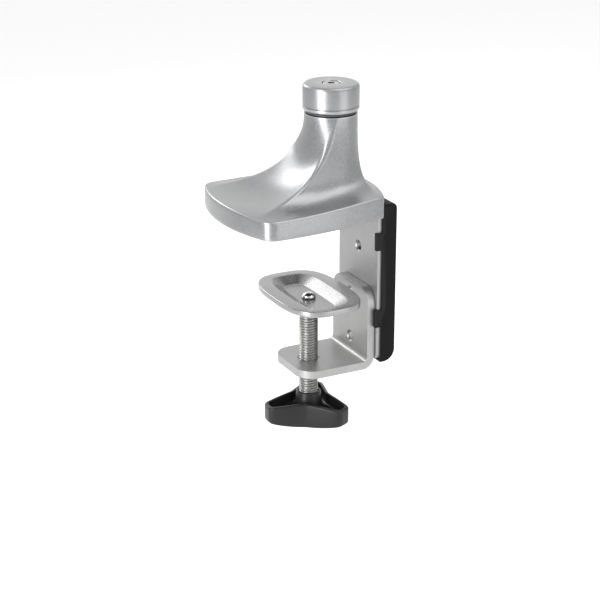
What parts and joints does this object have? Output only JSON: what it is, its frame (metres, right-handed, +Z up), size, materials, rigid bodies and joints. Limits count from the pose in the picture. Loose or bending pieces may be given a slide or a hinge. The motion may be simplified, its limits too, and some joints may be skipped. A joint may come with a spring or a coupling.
{
  "type": "monitor arm desk clamp base",
  "caption": "Desk-clamp base of a monitor arm: cast foot with ridged column and swivel head, folded steel brackets, oval clamp plate on a screw with a winged knob, back cover.",
  "frame": {"origin": "where the column's axis meets the desk top, on the underside of the foot pad", "axes": "+Z up along the column, -Y over the desk, +Y behind the desk, X along the desk's edge"},
  "size_m": [0.092, 0.1069, 0.2185],
  "materials": {
    "cast_silver": "satin silver powder coat with a fine metallic grain",
    "bracket_silver": "satin silver paint, fine speckle",
    "plate_silver": "semi-gloss silver paint, fine speckle",
    "zinc_steel": "zinc plated",
    "spindle_steel": "zinc plated thread",
    "chrome": "bright",
    "cover_black": "fine moulded texture",
    "knob_black": "satin moulded",
    "grey_polymer": "smooth moulded",
    "foam_pad": "closed-cell foam"
  },
  "bodies": {
    "root": {"base_casting": "cast_silver", "foot_pad": "foam_pad", "upper_bracket": "bracket_silver", "lower_bracket": "bracket_silver", "flange_screw_1": "zinc_steel", "flange_screw_2": "zinc_steel", "flange_screw_3": "zinc_steel", "flange_screw_4": "zinc_steel", "height_screw_upper": "zinc_steel", "height_screw_lower": "zinc_steel", "back_cover": "cover_black", "spindle_nut": "zinc_steel", "pivot_bush_lower": "grey_polymer", "pivot_bush_upper": "grey_polymer"},
    "clamp_carrier": {"thrust_washer": "grey_polymer"},
    "pressure_plate": {"clamp_plate": "plate_silver"},
    "clamp_screw": {"spindle": "spindle_steel", "plate_rivet": "chrome", "knob": "knob_black"},
    "arm_head": {"arm_post": "zinc_steel", "post_washer": "zinc_steel", "post_nut": "zinc_steel", "arm_hub": "cast_silver", "hub_screw": "zinc_steel", "hub_grub_screw": "zinc_steel"}
  },
  "joints": [
    {"name": "clamp_travel", "type": "slide", "parent": "root", "child": "clamp_carrier", "axis": [0, 0, 1], "range_m": [-0.033, 0.0124]},
    {"name": "plate_swivel", "type": "hinge", "parent": "clamp_carrier", "child": "pressure_plate", "pos_m": [0, -0.0149, -0.057], "axis": [0, 0, 1], "range_deg": [-18, 18]},
    {"name": "spindle_turn", "type": "hinge", "parent": "clamp_carrier", "child": "clamp_screw", "pos_m": [0, -0.0149, -0.0621], "axis": [0, 0, 1], "range_deg": [-6790, 2552]},
    {"name": "arm_swivel", "type": "hinge", "parent": "root", "child": "arm_head", "pos_m": [0, 0, 0.0621], "axis": [0, 0, 1], "continuous": true}
  ],
  "couplings": [
    {"joint": "spindle_turn", "follows": "clamp_travel", "rad_per_m": 3590.4}
  ]
}
